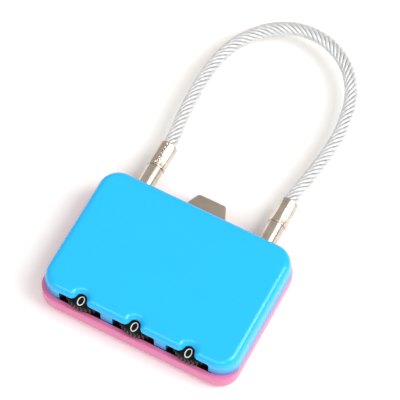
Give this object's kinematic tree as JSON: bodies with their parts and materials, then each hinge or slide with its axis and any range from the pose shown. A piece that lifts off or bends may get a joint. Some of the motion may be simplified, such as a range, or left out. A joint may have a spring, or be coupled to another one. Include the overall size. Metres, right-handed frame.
{
  "type": "combination cable padlock",
  "caption": "Card-shaped combination padlock with face dials in the bottom edge, a push tab and a short clear-sheathed cable loop held by plugs.",
  "frame": {"origin": "on the back face, under the middle of the case", "axes": "+X along the row of dials, +Y from the dials' edge towards the cable loop, +Z out of the front face"},
  "size_m": [0.041, 0.0765, 0.0086],
  "materials": {
    "blue_abs": "glossy moulded sky blue",
    "pink_abs": "glossy moulded pink",
    "black_plastic": "satin black, white digits",
    "cam_brass": "as pressed",
    "nickel": "satin nickel plate",
    "socket_steel": "zinc plated",
    "spring_steel": "bright",
    "digit_paint": "white printed digits",
    "rope_steel": "galvanised strands",
    "clear_sheath": "clear sheath over grey steel strands"
  },
  "bodies": {
    "case": {"back_cover": "pink_abs", "front_cover": "blue_abs", "dial_bed": "black_plastic", "dial_axles": "spring_steel", "wave_washers": "spring_steel", "detent_spring": "spring_steel", "return_springs": "spring_steel", "fixed_plug": "nickel", "fixed_plug_clip": "spring_steel", "fixed_plug_sleeve": "nickel", "plug_socket": "socket_steel", "ejector_spring": "spring_steel", "latch_spring": "spring_steel", "cable": "clear_sheath"},
    "dial_1": {"dial_1": "black_plastic", "cam_1": "cam_brass"},
    "dial_2": {"dial_2": "black_plastic", "cam_2": "cam_brass"},
    "dial_3": {"dial_3": "black_plastic", "cam_3": "cam_brass"},
    "release": {"release_slide": "nickel"},
    "plug": {"free_plug": "nickel", "free_plug_sleeve": "nickel"}
  },
  "joints": [
    {"name": "dial_1_spin", "type": "hinge", "parent": "case", "child": "dial_1", "pos_m": [-0.0112, -0.00955, 0], "axis": [0, 0, 1], "continuous": true, "deforming": ["detent_spring"]},
    {"name": "dial_2_spin", "type": "hinge", "parent": "case", "child": "dial_2", "pos_m": [0, -0.00955, 0], "axis": [0, 0, 1], "continuous": true, "deforming": ["detent_spring"]},
    {"name": "dial_3_spin", "type": "hinge", "parent": "case", "child": "dial_3", "pos_m": [0.0112, -0.00955, 0], "axis": [0, 0, 1], "continuous": true, "deforming": ["detent_spring"]},
    {"name": "release_press", "type": "slide", "parent": "case", "child": "release", "axis": [0, -1, 0], "range_m": [0, 0.0024], "stiffness_N_per_m": 300, "springref_m": -0.002, "deforming": ["return_springs", "latch_spring"]},
    {"name": "plug_pull", "type": "slide", "parent": "case", "child": "plug", "axis": [0, 1, 0], "range_m": [0, 0.01], "deforming": ["cable", "ejector_spring", "latch_spring"]}
  ]
}
